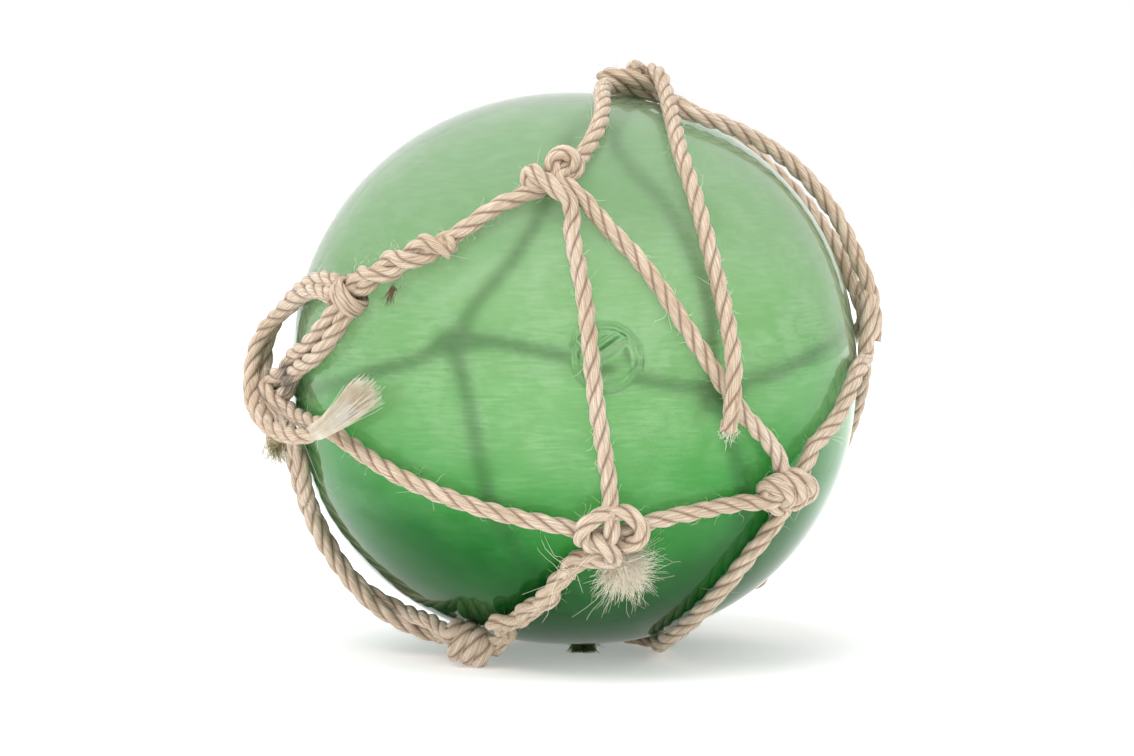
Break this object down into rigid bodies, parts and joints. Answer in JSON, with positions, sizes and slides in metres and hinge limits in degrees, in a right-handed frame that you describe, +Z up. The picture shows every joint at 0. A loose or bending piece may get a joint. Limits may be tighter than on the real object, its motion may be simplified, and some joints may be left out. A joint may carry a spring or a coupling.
{
  "type": "glass float ball",
  "caption": "Blown glass fishing float in a knotted rope net, resting on the net, with a hanging rope tail and a loop of spare rope.",
  "frame": {"origin": "on the floor under the middle of the ball, in the underside of the flattened rope end that the float rests on", "axes": "+Z up, -Y towards the side that shows the seal button and the front knot, +X to the right seen from there"},
  "size_m": [0.3403, 0.3182, 0.3128],
  "materials": {
    "glass": "transparent green glass with faint bubbles, wipe streaks and fine scratches",
    "rope": "weathered three-strand hemp rope, matt and hairy",
    "frayed_rope": "frayed and flattened hemp fibres"
  },
  "bodies": {
    "root": {"glass_ball": "glass", "front_knot": "rope", "foot_knot": "rope", "right_front_knot": "rope", "left_knot": "rope", "shoulder_knot": "rope", "top_knot": "rope", "right_knot": "rope", "back_low_knot": "rope", "back_left_knot": "rope", "back_right_knot": "rope", "front_splice": "rope", "left_splice": "rope", "hanging_tail": "rope", "under_knot": "rope", "rope_left_to_foot": "rope", "loop_tail": "rope", "rope_shoulder_to_front": "rope", "rope_top_to_back_right": "rope", "rope_right_front_to_under": "rope", "rope_back_left_to_under": "rope", "rope_top_to_back_left": "rope", "rope_shoulder_to_splice": "rope", "rope_top_to_right": "rope", "rope_left_pair_lower": "rope", "rope_left_to_foot_inner": "rope", "rope_back_low_to_under": "rope", "rope_shoulder_to_right_front": "rope", "rope_left_to_front": "rope", "rope_left_to_back_left": "rope", "rope_top_to_right_back": "rope", "left_seizing": "rope", "rope_back_right_to_right": "rope", "rope_back_left_to_back_right": "rope", "rope_right_to_back_low": "rope", "rope_behind_loop": "rope", "rope_foot_to_under": "rope", "rope_left_pair_upper": "rope", "rope_top_to_shoulder": "rope", "rope_right_to_right_front": "rope", "frayed_end_under": "frayed_rope", "rope_back_right_to_back_low": "rope", "rope_front_to_right_front": "rope"}
  },
  "joints": []
}
